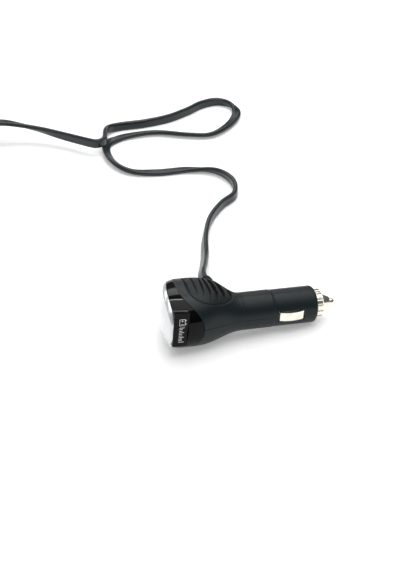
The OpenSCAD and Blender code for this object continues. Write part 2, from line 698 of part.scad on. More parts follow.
module cord() {
    count = ceil(route_last * route_split) + 1;
    color([0.13, 0.14, 0.15]) polyhedron([for (i = [0 : count - 1]) each cord_ring(i * route_last / (count - 1))],
        ring_faces(count, cord_sides), convexity = 12);
}

// Hub: two shells round two socket cans. Its sockets open towards -X.
hub_left = hub_right - hub_len;
socket_r = socket_d / 2;
can_r = socket_r + can_wall;
can_clear = 0.15;
can_floor = 1;
can_back = hub_left + socket_depth;

module rounded_block(x0, size, z0, z1, r) {
    width = size[1];
    translate([x0, hub_mid_y, z0]) {
        translate([r, -width / 2, 0]) cube([size[0] - 2 * r, width, z1 - z0]);
        translate([0, -width / 2 + r, 0]) cube([size[0], width - 2 * r, z1 - z0]);
        for (x = [r, size[0] - r], y = [-width / 2 + r, width / 2 - r])
            translate([x, y, 0]) cylinder(r = r, h = z1 - z0);
    }
}
module socket_axes() {
    for (side = [-1, 1]) translate([0, hub_mid_y + side * socket_pitch / 2, seam_z]) children();
}
hub_screw_at = [hub_right - 5.5, 20];
hub_boss_r = 3;
module hub_shell(z0, z1, floor_at_z0) {
    inner0 = floor_at_z0 ? z0 + hub_wall : z0 - 1;
    inner1 = floor_at_z0 ? z1 + 1 : z1 - hub_wall;
    difference() {
        union() {
            difference() {
                rounded_block(hub_left, [hub_len, hub_w], z0, z1, hub_corner);
                rounded_block(hub_left + hub_wall, [hub_len - 2 * hub_wall, hub_w - 2 * hub_wall],
                    inner0, inner1, hub_corner - hub_wall);
            }
            // Cradle ribs under the cans
            for (x = [hub_left + 14, can_back - 5]) translate([x, hub_mid_y - hub_w / 2 + 1, z0 + 0.5])
                cube([1.6, hub_w - 2, z1 - z0 - 1]);
            for (side = [-1, 1]) translate([hub_screw_at[0], hub_mid_y + side * hub_screw_at[1], z0 + 0.5])
                cylinder(r = hub_boss_r, h = z1 - z0 - (floor_at_z0 ? 0.5 : 1));
        }
        socket_axes() translate([hub_left - 1, 0, 0]) along_x() cylinder(r = can_r + can_clear, h = socket_depth + can_floor + 1.2);
        translate([hub_right + 6, hub_mid_y, seam_z]) rotate([0, 0, 90])
            flat_rod(2 * (grommet_half + grommet_clear), 2 * (grommet_r + grommet_clear), 12);
    }
}
module hub_base() {
    color([0.15, 0.17, 0.18]) difference() {
        hub_shell(foot_h, seam_z, true);
        for (side = [-1, 1]) translate([hub_screw_at[0], hub_mid_y + side * hub_screw_at[1], foot_h]) {
            translate([0, 0, -1]) cylinder(r = screw_r + 0.15, h = hub_h);
            translate([0, 0, -1]) cylinder(r = screw_head_r + 0.2, h = 7);
        }
    }
}
module hub_cover() {
    color([0.15, 0.17, 0.18]) difference() {
        hub_shell(seam_z, foot_h + hub_h, false);
        for (side = [-1, 1]) translate([hub_screw_at[0], hub_mid_y + side * hub_screw_at[1], seam_z - 1])
            cylinder(r = screw_pilot_r, h = hub_h / 2 - 3);
    }
}
module hub_screws() {
    color([0.55, 0.55, 0.57]) for (side = [-1, 1])
        translate([hub_screw_at[0], hub_mid_y + side * hub_screw_at[1], foot_h + 6]) {
            translate([0, 0, -screw_head_h]) cylinder(r = screw_head_r, h = screw_head_h);
            translate([0, 0, -0.5]) cylinder(r = screw_r, h = hub_h / 2 + 3);
        }
}
module hub_feet() {
    color([0.06, 0.06, 0.06]) for (x = [hub_left + 8, hub_right - 8], side = [-1, 1])
        translate([x, hub_mid_y + side * (hub_w / 2 - 8), 0]) cylinder(r = 3.5, h = foot_h);
}
module hub_grommet() {
    color([0.09, 0.1, 0.1]) translate([hub_right, hub_mid_y, seam_z]) rotate([0, 0, -90])
        grommet(hub_grommet_out, cord_gap, hub_wall + 0.6);
}
module socket_can(side) {
    color([0.8, 0.8, 0.8]) translate([hub_left, hub_mid_y + side * socket_pitch / 2, seam_z]) along_x() difference() {
        union() {
            translate([0, 0, -1.4]) cylinder(r = can_r + 1.5, h = 1.3);
            translate([0, 0, -0.2]) cylinder(r = can_r, h = socket_depth + can_floor + 0.2);
        }
        translate([0, 0, -2]) cylinder(r = socket_r, h = socket_depth + 2);
        cylinder(r = insulator_r, h = socket_depth + 5);
    }
}
insulator_r = 5;
module socket_insulator(side) {
    color([0.8, 0.78, 0.7]) translate([can_back + 0.2, hub_mid_y + side * socket_pitch / 2, seam_z]) along_x() difference() {
        union() {
            cylinder(r = insulator_r - 0.1, h = can_floor);
            translate([0, 0, can_floor - 0.1]) cylinder(r = insulator_r + 1.5, h = 1.6);
        }
        translate([0, 0, -1]) cylinder(r = 1.7, h = 5);
    }
}
module socket_contact(side) {
    color([0.8, 0.65, 0.3]) translate([can_back + 0.2, hub_mid_y + side * socket_pitch / 2, seam_z]) along_x() {
        translate([0, 0, 0.2]) cylinder(r = 1.6, h = can_floor + 3.4);
        translate([0, 0, can_floor + 1.55]) cylinder(r = 3, h = 1);
    }
}
module socket_can_1() { socket_can(-1); }
module socket_can_2() { socket_can(1); }
module socket_insulator_1() { socket_insulator(-1); }
module socket_insulator_2() { socket_insulator(1); }
module socket_contact_1() { socket_contact(-1); }
module socket_contact_2() { socket_contact(1); }

upper_housing();
lower_housing();
front_bezel();
label_panel();
front_lens();
display_module();
circuit_board();
cord_grommet();
side_contact_near();
side_contact_far();
ring_nut();
tip_contact();
tip_spring();
fuse_glass();
fuse_cap_front();
fuse_cap_rear();
fuse_tube();
rear_terminal();
housing_screws();
cord();
hub_base();
hub_cover();
hub_grommet();
hub_screws();
hub_feet();
socket_can_1();
socket_can_2();
socket_insulator_1();
socket_insulator_2();
socket_contact_1();
socket_contact_2();
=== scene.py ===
import math
import bpy
import numpy as np
from mathutils import Matrix, Vector


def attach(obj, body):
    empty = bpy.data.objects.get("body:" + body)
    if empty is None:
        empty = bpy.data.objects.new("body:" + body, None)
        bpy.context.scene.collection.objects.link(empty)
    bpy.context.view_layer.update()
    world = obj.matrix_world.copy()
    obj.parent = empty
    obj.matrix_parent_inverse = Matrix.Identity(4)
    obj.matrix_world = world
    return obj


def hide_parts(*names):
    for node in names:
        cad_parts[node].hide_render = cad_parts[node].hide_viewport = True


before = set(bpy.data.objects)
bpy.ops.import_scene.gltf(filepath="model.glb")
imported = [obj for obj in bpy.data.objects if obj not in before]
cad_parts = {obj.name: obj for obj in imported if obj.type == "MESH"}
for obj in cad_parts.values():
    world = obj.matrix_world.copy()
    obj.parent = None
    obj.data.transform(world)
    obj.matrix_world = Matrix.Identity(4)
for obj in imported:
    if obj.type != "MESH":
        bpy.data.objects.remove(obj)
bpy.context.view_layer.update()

mm = 0.001

# The plug's own frame: its axis is x, the barrel ends at x = 0 and the head is towards -x,
# y points to the cord's side and z is across the parting plane. Sizes are those of part.scad.
# bulgeShare is how much of the lens's bulge reaches past the slanted face, and settle sinks the
# barrel's rounded edge to the table.
plug = dict(barrelR=10.45, frontR=10.25, frontLen=25.5, barrelLen=44.0, headLen=43.3,
            near=16.0, far=30.0, high=15.5, step=0.1,
            nearRun=30.0, farRun=8.8, highRun=22.0, power=2.25, powerRun=20.0, roundLen=9.3, roundShare=0.13,
            slantRun=21.3, lean=0.12, slantFrom=-14.0, slantR=85.0,
            endRound=1.5, bulge=2.5, bulgeShare=0.45, noseOut=13.5, grommetOut=5.0, settle=0.11)
restShare = 0.45  # Where along its length the head touches the table
tilt = math.atan((plug["high"] - plug["frontR"]) / (plug["barrelLen"] + restShare * plug["headLen"]))
lift = (plug["frontR"] - plug["endRound"]) * math.cos(tilt) + plug["endRound"] - plug["settle"]
plugBack = plug["barrelLen"] + plug["headLen"]
midX = (plug["noseOut"] - plugBack - plug["bulgeShare"] * plug["bulge"]) / 2 * math.cos(tilt)
midY = (plug["far"] + plug["grommetOut"] - plug["near"]) / 2


# From the plug's own frame in mm to the row's frame in metres
def lying(points):
    p = np.asarray(points, float)
    c, s = math.cos(tilt), math.sin(tilt)
    return np.stack([c * p[..., 0] + s * p[..., 2] - midX, p[..., 1] - midY,
                     c * p[..., 2] - s * p[..., 0] + lift], -1) * mm


def blend(t):
    t = np.clip(t, 0, 1)
    return t * t * (3 - 2 * t)


def smooth(low, high, t):
    return blend((t - low) / (high - low))


# The camera as fitted to the photo, in degrees, mm and pixels
camFit = dict(azimuth=-18.58, elevation=31.46, distance=801.72, shiftX=-62.19, shiftZ=10.26,
              focal=1440.0, frameHeight=570)
az, el = math.radians(camFit["azimuth"]), math.radians(camFit["elevation"])
forward = Vector((-math.sin(az) * math.cos(el), math.cos(az) * math.cos(el), -math.sin(el)))
right = Vector((math.cos(az), math.sin(az), 0))
up = right.cross(forward)
plugEnd = Vector((-midX, -midY, lift))
cameraData = bpy.data.cameras.new("camera")
cameraData.sensor_width = 36
cameraData.lens = camFit["focal"] / camFit["frameHeight"] * cameraData.sensor_width
cameraData.clip_start, cameraData.clip_end = 0.01, 20
camera = bpy.data.objects.new("camera", cameraData)
spot = plugEnd - forward * camFit["distance"] + right * camFit["shiftX"] + up * camFit["shiftZ"]
camera.matrix_world = Matrix.Translation(spot * mm) @ Matrix((right, up, -forward)).transposed().to_4x4()
bpy.context.collection.objects.link(camera)
bpy.context.scene.camera = camera
bpy.context.scene.view_settings.view_transform = "Standard"


# A shader value with plain arithmetic
class Sum:
    def __init__(self, tree, socket):
        self.tree, self.socket = tree, socket

    def op(self, name, *others):
        node = self.tree.nodes.new("ShaderNodeMath")
        node.operation = name
        for slot, value in zip(node.inputs, (self,) + others):
            if isinstance(value, Sum):
                self.tree.links.new(value.socket, slot)
            else:
                slot.default_value = value
        return Sum(self.tree, node.outputs[0])

    def __add__(self, other):
        return self.op("ADD", other)

    def __sub__(self, other):
        return self.op("SUBTRACT", other)

    def __rsub__(self, other):
        return (self * -1) + other

    def __mul__(self, other):
        return self.op("MULTIPLY", other)

    def clamp(self):
        return self.op("MAXIMUM", 0.0).op("MINIMUM", 1.0)


def newMaterial(name, colour, roughness, metallic=0.0, coat=0.0, specular=0.5):
    mat = bpy.data.materials.new(name)
    mat.use_nodes = True
    shader = mat.node_tree.nodes["Principled BSDF"]
    shader.inputs["Base Color"].default_value = (*colour, 1)
    shader.inputs["Roughness"].default_value = roughness
    shader.inputs["Metallic"].default_value = metallic
    shader.inputs["Coat Weight"].default_value = coat
    shader.inputs["Specular IOR Level"].default_value = specular
    return mat, mat.node_tree, shader


def noise(tree, scale, detail):
    coord = tree.nodes.new("ShaderNodeTexCoord")
    tex = tree.nodes.new("ShaderNodeTexNoise")
    tex.inputs["Scale"].default_value = scale
    tex.inputs["Detail"].default_value = detail
    tree.links.new(coord.outputs["Object"], tex.inputs["Vector"])
    return Sum(tree, tex.outputs["Fac"])


def mixColour(tree, fac, dark, light, target):
    mix = tree.nodes.new("ShaderNodeMix")
    mix.data_type = "RGBA"
    mix.inputs["A"].default_value = (*dark, 1)
    mix.inputs["B"].default_value = (*light, 1)
    tree.links.new(fac.socket, mix.inputs["Factor"])
    tree.links.new(mix.outputs["Result"], target)


def bump(tree, height, strength, distance, shader):
    node = tree.nodes.new("ShaderNodeBump")
    node.inputs["Strength"].default_value = strength
    node.inputs["Distance"].default_value = distance
    tree.links.new(height.socket, node.inputs["Height"])
    tree.links.new(node.outputs["Normal"], shader.inputs["Normal"])


def attribute(tree, name):
    node = tree.nodes.new("ShaderNodeAttribute")
    node.attribute_name = name
    return Sum(tree, node.outputs["Fac"])


def plastic(name, dark, light, roughness, grain, strength, specular=0.5):
    mat, tree, shader = newMaterial(name, light, roughness, specular=specular)
    broad = (noise(tree, 45, 2) * 1.6 - 0.3).clamp()
    # The base colour turns towards black with the groove depth stored on the mesh, as painted shade in the
    # grooves; the noise adds random tone, and the grooves are also rougher
    grooveShade = attribute(tree, "groove")
    mixColour(tree, broad * 0.3 + 0.7 - grooveShade * 1.3, dark, light, shader.inputs["Base Color"])
    fine = noise(tree, grain, 3)
    grainy = (fine * 0.12 + (roughness - 0.06) + grooveShade).clamp()
    tree.links.new(grainy.socket, shader.inputs["Roughness"])
    if strength:
        bump(tree, fine, strength, 0.00006, shader)
    return mat


def metal(name, dark, light, roughness):
    mat, tree, shader = newMaterial(name, light, roughness, metallic=1.0)
    worn = noise(tree, 260, 4)
    mixColour(tree, (worn * 1.8 - 0.4).clamp(), dark, light, shader.inputs["Base Color"])
    tree.links.new((worn * 0.18 + (roughness - 0.09)).socket, shader.inputs["Roughness"])
    bump(tree, worn, 0.12, 0.00004, shader)
    return mat


# Near black: the dark end of the plastics' random tone, and of the painted shade in the body's grooves
darkToneAndShade = (0.001, 0.001, 0.001)
matBody = plastic("body", darkToneAndShade, (0.011, 0.0185, 0.0212), 0.38, 2600, 0.5, specular=0.26)
matGloss = plastic("gloss", (0.0004, 0.0004, 0.0004), (0.0015, 0.0015, 0.002), 0.09, 60, 0.0, specular=0.15)
matCord = plastic("cordSkin", darkToneAndShade, (0.012, 0.021, 0.0235), 0.34, 1800, 0.3, specular=0.5)
matGrommet = plastic("grommetSkin", darkToneAndShade, (0.013, 0.0175, 0.019), 0.42, 1800, 0.3, specular=0.3)
matFoot = plastic("foot", (0.008, 0.008, 0.008), (0.013, 0.013, 0.013), 0.7, 1500, 0.4)
matNickel = metal("nickel", (0.74, 0.71, 0.62), (0.98, 0.96, 0.88), 0.2)
matSteel = metal("steel", (0.42, 0.42, 0.42), (0.62, 0.62, 0.62), 0.32)
matBrass = metal("brass", (0.5, 0.36, 0.13), (0.72, 0.55, 0.25), 0.28)
matLens = newMaterial("lens", (0.85, 0.87, 0.88), 0.16, metallic=0.3, coat=1.0)[0]
matMark = newMaterial("mark", (0.86, 0.86, 0.86), 0.5)[0]
matDark = newMaterial("dark", (0.004, 0.004, 0.004), 0.6)[0]
matTube = newMaterial("tube", (0.55, 0.5, 0.4), 0.5)[0]
matBoard = newMaterial("board", (0.02, 0.12, 0.06), 0.35)[0]
matGlass = newMaterial("glass", (0.85, 0.92, 0.92), 0.05)[0]
matGlass.node_tree.nodes["Principled BSDF"].inputs["Alpha"].default_value = 0.35

nodeLooks = {
    "hub_grommet": matGrommet, "side_contact_near": matNickel,
    "side_contact_far": matNickel, "ring_nut": matNickel, "tip_contact": matNickel, "tip_spring": matSteel,
    "fuse_glass": matGlass, "fuse_cap_front": matNickel, "fuse_cap_rear": matNickel, "fuse_tube": matTube,
    "rear_terminal": matBrass, "housing_screws": matSteel, "hub_screws": matSteel, "hub_feet": matFoot,
    "hub_base": matBody, "hub_cover": matBody, "socket_can_1": matSteel, "socket_can_2": matSteel,
    "socket_insulator_1": matTube, "socket_insulator_2": matTube, "socket_contact_1": matBrass,
    "socket_contact_2": matBrass, "display_module": matDark, "circuit_board": matBoard}
for name, mat in nodeLooks.items():
    for holder in bpy.data.objects[name].material_slots:
        holder.material = mat
print("stage: materials", flush=True)


# Collects grids of points and makes one mesh of them
class Shell:
    def __init__(self):
        self.points, self.quads, self.count = [], [], 0

    def grid(self, pts, wrapCols=False, flip=False, keep=None):
        rows, cols = pts.shape[:2]
        index = np.arange(rows * cols).reshape(rows, cols) + self.count
        i = np.arange(rows - 1)[:, None]
        j = np.arange(cols if wrapCols else cols - 1)[None, :]
        a, b = index[i, j], index[i, (j + 1) % cols]
        c, d = index[i + 1, (j + 1) % cols], index[i + 1, j]
        q = np.stack([a, d, c, b] if flip else [a, b, c, d], -1)
        self.quads.append((q if keep is None else q[keep]).reshape(-1, 4))
        self.points.append(pts.reshape(-1, 3))
        self.count += rows * cols

    def fan(self, ring, centre, flip=False):
        n = len(ring)
        index = np.arange(n) + self.count
        tri = np.stack([index, np.roll(index, -1), np.full(n, self.count + n)], -1)
        if flip:
            tri = tri[:, ::-1]
        self.quads.append(np.concatenate([tri, np.full((n, 1), -1)], 1))
        self.points.append(np.concatenate([ring, centre[None]]))
        self.count += n + 1

    def make(self, name, body, mat, replaced=(), sharp=35, place=lying):
        quads = np.concatenate(self.quads)
        corners = (quads >= 0).sum(1)
        mesh = bpy.data.meshes.new(name)
        mesh.vertices.add(self.count)
        mesh.vertices.foreach_set("co", place(np.concatenate(self.points)).ravel())
        mesh.loops.add(int(corners.sum()))
        mesh.loops.foreach_set("vertex_index", quads[quads >= 0])
        mesh.polygons.add(len(quads))
        mesh.polygons.foreach_set("loop_start", np.cumsum(corners) - corners)
        mesh.update(calc_edges=True)
        mesh.polygons.foreach_set("use_smooth", np.ones(len(quads), bool))
        mesh.set_sharp_from_angle(angle=math.radians(sharp))
        mesh.materials.append(mat)
        obj = bpy.data.objects.new(name, mesh)
        bpy.context.collection.objects.link(obj)
        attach(obj, body)
        if replaced:
            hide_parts(*replaced)
        return obj


cordCfg = dict(width=6.4, thick=3.2, perSpan=7, around=32, channel=0.22, channelWidth=0.9,
               exitS=7.0, restGap=0.03)
exitX = -plug["barrelLen"] - cordCfg["exitS"]
exitAt = lying([exitX, plug["far"], 0]) / mm
tiltDeg = math.degrees(tilt)
exitDepth = plug["far"] - plug["barrelR"] - plug["step"] + 1
hub = dict(right=-97.7, midY=267.5, seamZ=15.7)
# Each point holds x, y, z and the turn of the flat section in degrees, where 0 lies flat
route = np.array(
    [[exitAt[0], exitAt[1] + y, exitAt[2], tiltDeg + turn]
     for y, turn in ((-exitDepth - 1, 90), (-exitDepth / 2, 90), (plug["grommetOut"] + 3, 108))] + [
        [-11.2, 37.5, 13, 118], [-7.2, 47, 10.2, 121], [0.8, 68, 4.6, 119], [9, 91.5, 0, 106],
        [19, 111.5, 0, 92], [32, 127.5, 0, 90], [45, 138.5, 0, 90], [50, 157, 0, 85], [44.5, 174.5, 0, 50],
        [29, 183.5, 0, 12], [8, 186.6, 0, 0], [-8.7, 193.5, 0, 20], [-16.4, 211, 0, 40], [-14.4, 234, 0, 35],
        [-3.5, 244.2, 0, 0], [12, 246.6, 0, -15], [27, 244.4, 0, -20], [45, 234.4, 0, -25], [60, 229.8, 0, -25],
        [76, 239.5, 0, -15], [88, 255, 0, 10], [90.5, 269, 0, 45], [82, 278.5, 0, 75], [69, 277, 0, 90],
        [56, 269.5, 0, 90], [39, 262.2, 0, 90], [20, 259.6, 0, 90], [3, 260.2, 0, 90], [-6.5, 256.5, 4.2, 90],
        [-11.6, 246, 6.8, 90], [-15, 234.5, 8.2, 90], [-17.8, 229.8, 8.4, 90], [-22.4, 228.6, 8.4, 90],
        [-27, 232, 8.4, 88], [-41, 247.3, 8.5, 75], [-57, 259, 11.2, 40], [-76, 266.5, 15, 5]] +
    [[hub["right"] + x, hub["midY"], hub["seamZ"], 0] for x in (10.7, 2, -2)], float)


# Height of the cord's centre where its flat section rests on the table at a turn
def restHeight(turn):
    reachDown = (cordCfg["width"] - cordCfg["thick"]) / 2 * np.abs(np.sin(np.radians(turn)))
    return reachDown + cordCfg["thick"] / 2 + cordCfg["restGap"]


route[:, 2] = np.maximum(route[:, 2], restHeight(route[:, 3]))
padded = np.concatenate([[2 * route[0] - route[1]], route, [2 * route[-1] - route[-2]]])
spans = []
for i in range(len(route) - 1):
    a, b, c, d = padded[i:i + 4]
    t = np.linspace(0, 1, cordCfg["perSpan"], endpoint=False)[:, None]
    square, cube = 2 * a - 5 * b + 4 * c - d, 3 * b - a - 3 * c + d
    spans.append(0.5 * (2 * b + (c - a) * t + square * t ** 2 + cube * t ** 3))
line = np.concatenate(spans + [route[-1:]])
line[:, 2] = np.maximum(line[:, 2], restHeight(line[:, 3]))
centre = line[:, :3]
way = np.gradient(centre, axis=0)
way /= np.linalg.norm(way, axis=1, keepdims=True)
left = np.cross([0, 0, 1], way)
left /= np.linalg.norm(left, axis=1, keepdims=True)
over = np.cross(way, left)
turn = np.radians(line[:, 3:4])
wide, thin = left * np.cos(turn) + over * np.sin(turn), over * np.cos(turn) - left * np.sin(turn)
ang = np.linspace(0, 2 * math.pi, cordCfg["around"], endpoint=False)
half, r = (cordCfg["width"] - cordCfg["thick"]) / 2, cordCfg["thick"] / 2
secW = np.sign(np.cos(ang)) * half * np.minimum(1, np.abs(np.cos(ang)) / 0.5) + r * np.cos(ang)
secT = r * np.sign(np.sin(ang)) * np.abs(np.sin(ang)) ** 0.8
secT = secT - cordCfg["channel"] * np.sin(ang) * np.exp(-(secW / cordCfg["channelWidth"]) ** 2)
tube = centre[:, None] + wide[:, None] * secW[None, :, None] + thin[:, None] * secT[None, :, None]
shell = Shell()
shell.grid(tube, wrapCols=True, flip=True)
shell.fan(tube[0], centre[0])
shell.fan(tube[-1], centre[-1], flip=True)
cord = shell.make("cord_skin", "plug", matCord, ["cord"], sharp=60, place=lambda p: p * mm)

# The cord's grommet as a tapered sleeve with two rings; its wide axis is across the parting plane
sleeveCfg = dict(thick=3.0, high=4.6, bore=(1.8, 3.4), taper=0.7, ring=0.35, lip=0.15, columns=64,
                 rows=(-exitDepth, -6, 0, 0.9, 1.0, 1.9, 2.0, 2.9, 3.0, 3.9, 4.0, 4.85, 5.0))
ang = np.linspace(0, 2 * math.pi, sleeveCfg["columns"], endpoint=False)


def sleeveRow(y, thick, high):
    z = np.sign(np.sin(ang)) * (high - thick) + thick * np.sin(ang)
    return np.stack([exitX + thick * np.cos(ang), np.full(len(ang), plug["far"] + y), z], -1)


rows = [sleeveRow(-exitDepth, *sleeveCfg["bore"])]
for y in sleeveCfg["rows"]:
    shrink = sleeveCfg["taper"] * max(0, y) / plug["grommetOut"]
    if 0.95 < y < 1.95 or 2.95 < y < 3.95:
        shrink -= sleeveCfg["ring"]
    if y > 4.9:
        shrink += sleeveCfg["lip"]
    rows.append(sleeveRow(y, sleeveCfg["thick"] - shrink, sleeveCfg["high"] - shrink))
rows += [sleeveRow(plug["grommetOut"], *sleeveCfg["bore"]), sleeveRow(-exitDepth, *sleeveCfg["bore"])]
shell = Shell()
shell.grid(np.array(rows), wrapCols=True)
shell.make("cord_sleeve", "plug", matGrommet, ["cord_grommet"], sharp=40)


# Points of the head at s mm behind the barrel and at an angle from the cord's side,
# drawn in by inset and moved by drop along the axis
def skin(s, a, inset=0.0, drop=0.0):
    s, a = np.broadcast_arrays(np.asarray(s, float), np.asarray(a, float))
    base = plug["barrelR"] + plug["step"] * smooth(-0.2, 0, s)
    back = s - inset
    cs, sn = np.cos(np.radians(a)), np.sin(np.radians(a))
    side = np.where(cs >= 0, base + (plug["far"] - base) * blend(back / plug["farRun"]),
                    base + (plug["near"] - base) * blend(back / plug["nearRun"]))
    high = base + (plug["high"] - base) * blend(back / plug["highRun"])
    t = np.clip((s - plug["headLen"] + plug["roundLen"]) / plug["roundLen"], 0, 1)
    # 0.98 keeps the slope finite at the very end
    draw = 1 - plug["roundShare"] * (1 - np.sqrt(1 - 0.98 * t * t))
    n = 2 + (plug["power"] - 2) * blend(s / plug["powerRun"])
    y = (side * draw - inset) * np.sign(cs) * np.abs(cs) ** (2 / n)
    z = (high * draw - inset) * np.sign(sn) * np.abs(sn) ** (2 / n)
    slant = blend((s - plug["headLen"] + plug["slantRun"]) / plug["slantRun"])
    face = (y - plug["slantFrom"]) ** 2 / (2 * plug["slantR"]) - plug["lean"] * z
    x = -plug["barrelLen"] - s + slant * face + drop
    return np.stack([x, y, z], -1)


# Unit normals of the head's surface
def outward(s, a, e=0.25):
    u = skin(s + e, a) - skin(s - e, a)
    v = skin(s, a + 1) - skin(s, a - 1)
    n = np.cross(u, v)
    return n / (np.linalg.norm(n, axis=-1, keepdims=True) + 1e-12)


mouthCfg = dict(back=6.3, lean=4.5, dip=8.0, dipPower=5)


# Where the housing ends and the bezel starts, at an angle from the cord's side
def edgeAt(a):
    q = (1 - np.cos(np.radians(a))) / 2
    return plug["headLen"] - mouthCfg["back"] - mouthCfg["lean"] * q - mouthCfg["dip"] * q ** mouthCfg["dipPower"]


# Grip patch: an outline and grooves that lean and deepen towards the cord's side.
# Each groove has its station at 65 and 115 degrees from the seam, its end angle and its strength.
grip = dict(mid=(16.6, 84.0), half=(12.5, 47.0), line=0.42, lineDepth=0.28, sink=0.12, grooveDepth=2.1,
            startHead=40.0, startNeck=59.0)
grooves = [(28.1, 29.3, 99, 0.25), (23.0, 26.2, 104, 0.25), (18.6, 23.2, 110, 0.35), (15.8, 18.8, 124, 0.55),
           (12.2, 14.9, 120, 1.0), (8.3, 10.6, 112, 1.0), (3.8, 6.6, 98, 0.55)]


# Depth of the grip patch below the skin, in mm, which also sets the painted shade in its grooves
def relief(s, a):
    along, around = (s - grip["mid"][0]) / grip["half"][0], (a - grip["mid"][1]) / grip["half"][1]
    oval = np.sqrt(along ** 2 + around ** 2)
    away = (oval - 1) * 11
    depth = grip["lineDepth"] * np.exp(-(away / grip["line"]) ** 2) + grip["sink"] * smooth(0.6, -0.6, away)
    for near, far, end, strength in grooves:
        mid = near + (far - near) * (a - 65) / 50
        begin = grip["startNeck"] + (grip["startHead"] - grip["startNeck"]) * blend(s / 18)
        fade = smooth(begin, begin + 6, a) * smooth(end + 1, end - 7, a)
        share = 0.3 + 0.7 * smooth(106, 72, a)
        width = 0.3 + 0.95 * strength * smooth(112, 78, a)
        cut = smooth(width + 0.16, width - 0.12, np.abs(s - mid))
        depth = np.maximum(depth, grip["grooveDepth"] * strength * share * fade * cut)
    return depth


shellCfg = dict(gap=0.06, lip=1.3, holeR=6.15, holeChamfer=0.15, endWall=2.5, seamWall=1.0,
                slotLen=15.2, slotHalf=3.2, slotMid=-16.0, slotDeep=1.8, slotColumns=14,
                stepChamfer=0.45, columns=150, headStep=0.24 / 35)


def housing(side, name, replaced):
    slotAngle = math.degrees(math.asin(shellCfg["slotHalf"] / plug["frontR"]))
    first = math.degrees(shellCfg["gap"] / plug["barrelR"])
    slotCols = shellCfg["slotColumns"]
    cols = np.concatenate([np.linspace(first, slotAngle, slotCols),
                           np.linspace(slotAngle, 180 - slotAngle, shellCfg["columns"])[1:-1],
                           np.linspace(180 - slotAngle, 180 - first, slotCols)])
    rBar, rFront, rEnd = plug["barrelR"], plug["frontR"], plug["endRound"]
    arc = np.radians(np.linspace(0, 90, 9))
    holeR, chamfer = shellCfg["holeR"], shellCfg["holeChamfer"]
    profile = [(-shellCfg["endWall"], holeR), (-chamfer, holeR), (0, holeR + chamfer)]
    profile += [(rEnd * math.cos(q) - rEnd, rFront - rEnd + rEnd * math.sin(q)) for q in arc]
    slotA = shellCfg["slotMid"] + shellCfg["slotLen"] / 2
    slotB = shellCfg["slotMid"] - shellCfg["slotLen"] / 2
    front = np.concatenate([np.linspace(-rEnd, slotA, 10)[1:], np.linspace(slotA, slotB, 22)[1:],
                            np.linspace(slotB, -plug["frontLen"], 4)[1:]])
    profile += [(x, rFront) for x in front]
    rearFrom = -plug["frontLen"] - shellCfg["stepChamfer"]
    profile += [(x, rBar) for x in np.linspace(rearFrom, -plug["barrelLen"] + 0.3, 22)]
    profile = np.array(profile)
    angles = np.radians(cols)
    barrel = np.stack([np.repeat(profile[:, :1], len(cols), 1),
                       profile[:, 1:] * np.cos(angles), profile[:, 1:] * np.sin(angles)], -1)
    u = np.arange(0, 1.0001, shellCfg["headStep"])
    stations = u[:, None] * edgeAt(cols)[None, :]
    aGrid = np.broadcast_to(cols, stations.shape)
    depth = relief(stations, aGrid)
    head = skin(stations, side * aGrid) - outward(stations, side * aGrid) * depth[..., None]
    mouth = edgeAt(cols)
    lip = [skin(mouth, side * cols, 0.25, -0.12), skin(mouth, side * cols, shellCfg["lip"])]
    pts = np.concatenate([barrel * [1, 1, side], head, np.array(lip)])
    # Slots for the side contacts
    rowX = np.concatenate([barrel[:, 0, 0], np.full(len(head) + len(lip), -plugBack)])
    inRow = (rowX[:-1] <= slotA + 1e-6) & (rowX[1:] >= slotB - 1e-6)
    centreAngle = (cols[:-1] + cols[1:]) / 2
    inCol = (centreAngle < slotAngle) | (centreAngle > 180 - slotAngle)
    keep = ~(inRow[:, None] & inCol[None, :])
    out = Shell()
    flip = side > 0
    out.grid(pts, flip=flip, keep=keep)
    # Seam faces: a thin wall inwards along both parting edges, open at the slots
    for edge, inward in ((pts[:, 0], -1), (pts[:, -1], 1)):
        inner = edge.copy()
        inner[:, 1] += inward * shellCfg["seamWall"]
        out.grid(np.stack([edge, inner], 0), flip=(inward < 0) != flip, keep=~inRow[None])
    # The slots' walls
    deep = 1 - shellCfg["slotDeep"] / rFront
    rows = np.where(inRow)[0]
    band = pts[rows[0]:rows[-1] + 2]
    for col, turnOver in ((slotCols - 1, False), (len(cols) - slotCols, True)):
        edge = band[:, col]
        out.grid(np.stack([edge, edge * [1, deep, deep]], 0), flip=turnOver != flip)
    for row, turnOver in ((rows[0], True), (rows[-1] + 1, False)):
        for part in (slice(0, slotCols), slice(len(cols) - slotCols, len(cols))):
            edge = pts[row, part]
            out.grid(np.stack([edge, edge * [1, deep, deep]], 0), flip=turnOver != flip)
    mesh = out.make(name, "plug", matBody, [replaced], sharp=50).data
    # The grip's depth is stored per point, and the body's material darkens its colour with it as painted shade in
    # the grooves
    dark = np.zeros(len(mesh.vertices), np.float32)
    dark[barrel.shape[0] * len(cols):][:depth.size] = depth.ravel()  # The head's points follow the barrel's
    mesh.attributes.new("groove", "FLOAT", "POINT").data.foreach_set("value", dark)


housing(1, "upper_shell", "upper_housing")
housing(-1, "lower_shell", "lower_housing")
print("stage: housing", flush=True)

